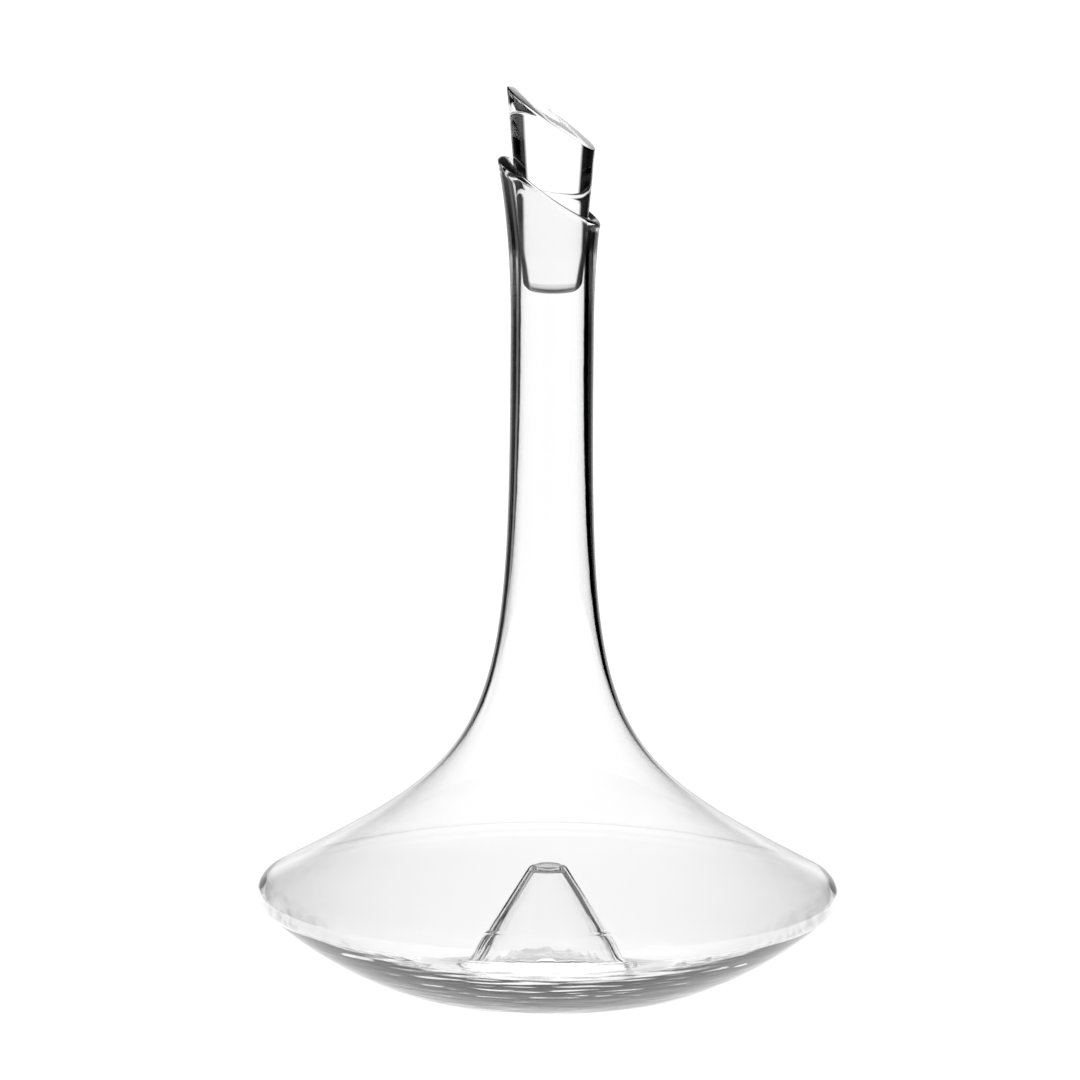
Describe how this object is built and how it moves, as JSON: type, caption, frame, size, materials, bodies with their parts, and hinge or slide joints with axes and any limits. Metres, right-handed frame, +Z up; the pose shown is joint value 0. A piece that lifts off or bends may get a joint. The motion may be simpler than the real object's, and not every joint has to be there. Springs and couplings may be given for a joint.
{
  "type": "wine decanter",
  "caption": "Wide, low clear glass decanter with a tall neck, a slanted open mouth, a hollow cone pushed up in its base, and a solid tapered stopper that lifts out.",
  "frame": {"origin": "on the neck's axis, in the plane of the ring that the vessel stands on", "axes": "+Z up the neck; -X towards the high side of the slanted mouth and of the stopper's slanted top"},
  "size_m": [0.2204, 0.2204, 0.3474],
  "materials": {
    "vessel_glass": "polished",
    "stopper_glass": "polished"
  },
  "bodies": {
    "vessel": {"decanter_body": "vessel_glass"},
    "stopper": {"stopper": "stopper_glass"}
  },
  "joints": [
    {"name": "stopper_lift", "type": "slide", "parent": "vessel", "child": "stopper", "axis": [0, 0, 1], "range_m": [0, 0.06]}
  ]
}
